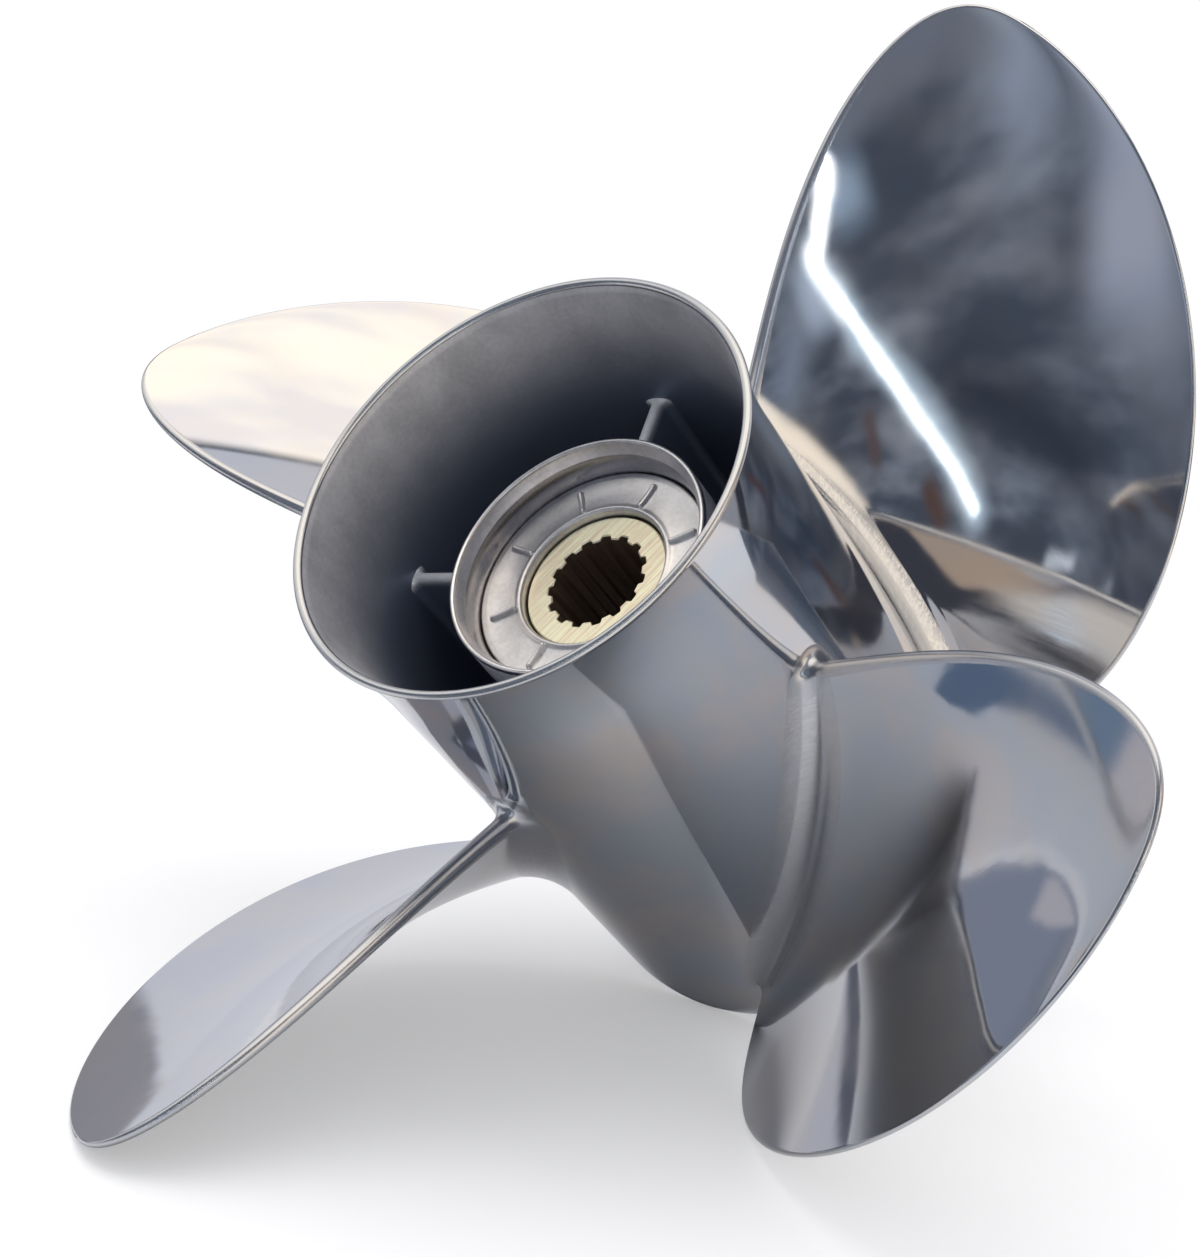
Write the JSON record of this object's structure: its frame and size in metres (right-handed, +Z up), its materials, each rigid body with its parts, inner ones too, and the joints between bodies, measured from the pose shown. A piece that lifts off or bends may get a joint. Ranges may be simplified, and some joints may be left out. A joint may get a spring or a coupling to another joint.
{
  "type": "outboard boat propeller",
  "caption": "Right-hand propeller with a flared exhaust barrel, raked blades and a splined brass bush, lying on the edge of its barrel and on blade edges.",
  "frame": {"origin": "middle of the footprint's bounding box, on the floor that the propeller rests on", "axes": "+Z up; the shaft leans in the YZ plane, its flared aft end up and towards -Y; +X is to the right as seen from -Y"},
  "size_m": [0.3346, 0.2466, 0.2529],
  "materials": {
    "polished_steel": "mirror-polished stainless steel",
    "cast_steel": "as cast",
    "machined_steel": "machined",
    "filed_brass": "filed",
    "black_rubber": "moulded"
  },
  "bodies": {
    "root": {"barrel": "polished_steel", "blade_1": "polished_steel", "blade_2": "polished_steel", "blade_3": "polished_steel", "blade_4": "polished_steel", "inner_hub": "machined_steel", "web_1": "cast_steel", "web_2": "cast_steel", "web_3": "cast_steel", "web_4": "cast_steel", "bush_end_ring": "machined_steel", "rubber_sleeve": "black_rubber", "spline_bush": "filed_brass"}
  },
  "joints": []
}
